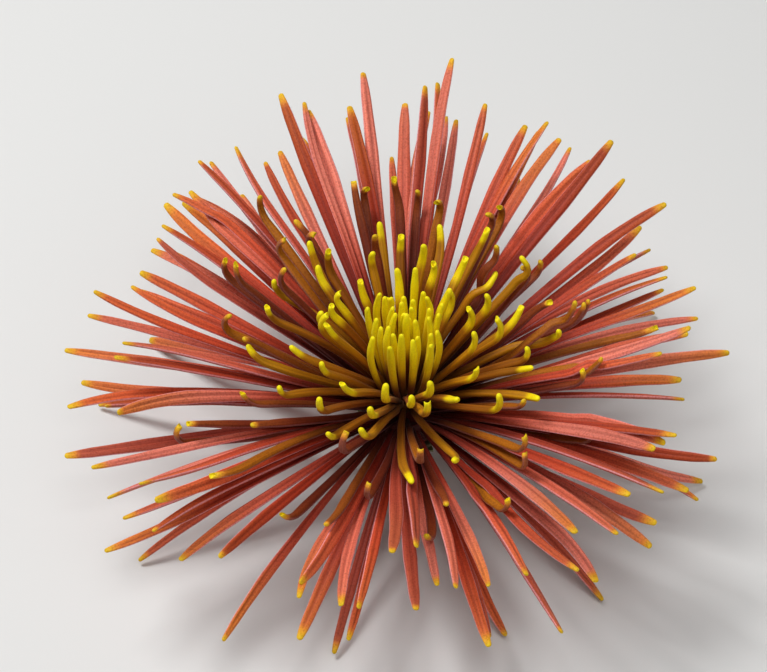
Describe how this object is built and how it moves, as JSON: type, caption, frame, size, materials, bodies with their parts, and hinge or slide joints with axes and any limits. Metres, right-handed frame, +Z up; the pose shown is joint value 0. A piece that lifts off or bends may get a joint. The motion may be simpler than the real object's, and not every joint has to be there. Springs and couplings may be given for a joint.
{
  "type": "spider chrysanthemum bloom",
  "caption": "Spider chrysanthemum bloom cut close under its head: long slender brick-red rays in sprays round golden hooked florets and a tuft of blunt yellow tubes, lying face up.",
  "frame": {"origin": "middle of the bloom's footprint, on the surface it rests on", "axes": "+Z up along the bloom's own axis; -Y towards the side that the picture was taken from"},
  "size_m": [0.1292, 0.132, 0.0512],
  "materials": {
    "red_petal": "soft fresh petal, faintly velvety",
    "golden_petal": "soft fresh petal, yellow at the tips",
    "green_bract": "matte leafy scale",
    "green_stem": "matte fresh stem"
  },
  "bodies": {
    "root": {"red_rays": "red_petal", "golden_florets": "golden_petal", "involucre": "green_bract", "stem": "green_stem"}
  },
  "joints": []
}
